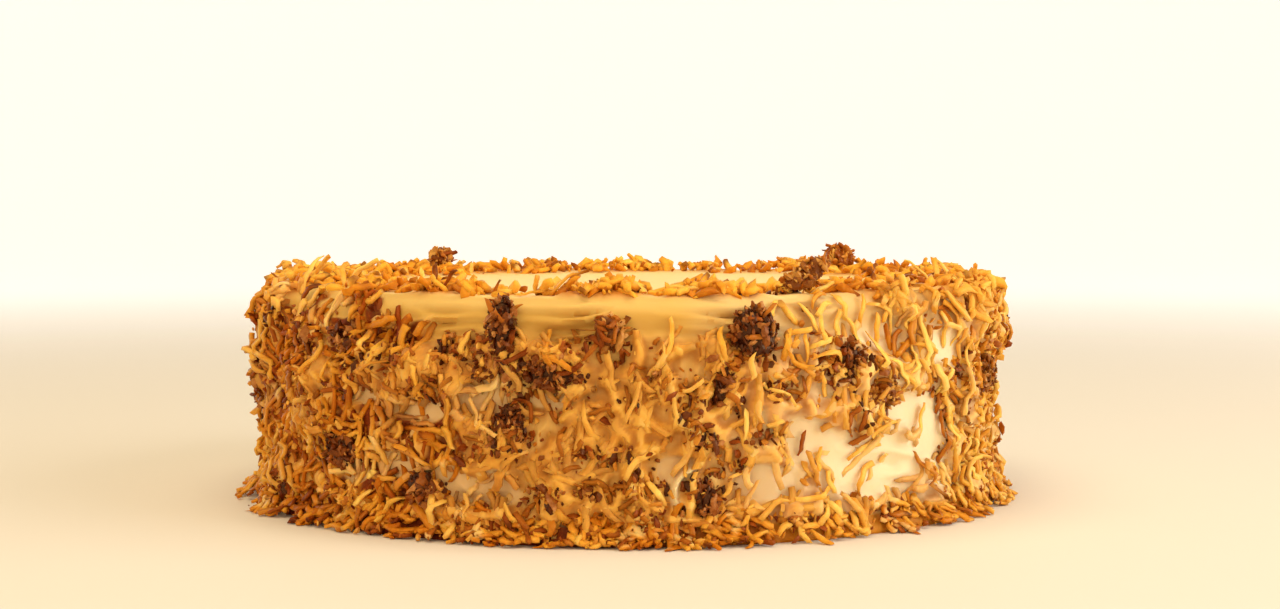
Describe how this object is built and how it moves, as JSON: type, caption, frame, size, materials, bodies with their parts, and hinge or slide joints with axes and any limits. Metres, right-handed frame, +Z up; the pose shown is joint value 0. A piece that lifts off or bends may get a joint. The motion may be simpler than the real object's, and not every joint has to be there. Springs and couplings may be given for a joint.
{
  "type": "carrot cake",
  "caption": "Round uncut carrot cake under smooth cream frosting, side and top edge coated in toasted coconut shreds with crumbly nut clusters.",
  "frame": {"origin": "centre of the flat underside, on the surface the cake stands on", "axes": "+Z up, the front of the cake faces -Y"},
  "size_m": [0.2115, 0.2139, 0.0673],
  "materials": {
    "frosting": "smooth cream cheese frosting, slightly glossy",
    "coconut_golden": "toasted golden coconut shreds, satin",
    "coconut_toasted": "dark toasted coconut shreds, satin",
    "nut_cluster": "crumbly toasted nut and coconut clusters with a sugary glint"
  },
  "bodies": {
    "root": {"frosted_cake": "frosting", "cluster_rim_left": "nut_cluster", "cluster_shoulder_left": "nut_cluster", "cluster_waist_left": "nut_cluster", "cluster_left_low": "nut_cluster", "cluster_foot_left": "nut_cluster", "cluster_left_high": "nut_cluster", "cluster_centre_star": "nut_cluster", "cluster_centre_foot": "nut_cluster", "cluster_centre_mid": "nut_cluster", "cluster_right_slant": "nut_cluster", "cluster_right_large": "nut_cluster", "cluster_right_dark": "nut_cluster", "cluster_right_brown": "nut_cluster", "cluster_right_far": "nut_cluster", "cluster_right_edge": "nut_cluster", "cluster_rim_bar": "nut_cluster", "cluster_top_back_left": "nut_cluster", "cluster_top_back_right": "nut_cluster", "cluster_back_one": "nut_cluster", "cluster_back_two": "nut_cluster", "cluster_back_three": "nut_cluster", "cluster_back_four": "nut_cluster", "cluster_back_five": "nut_cluster", "cluster_back_six": "nut_cluster"}
  },
  "joints": []
}
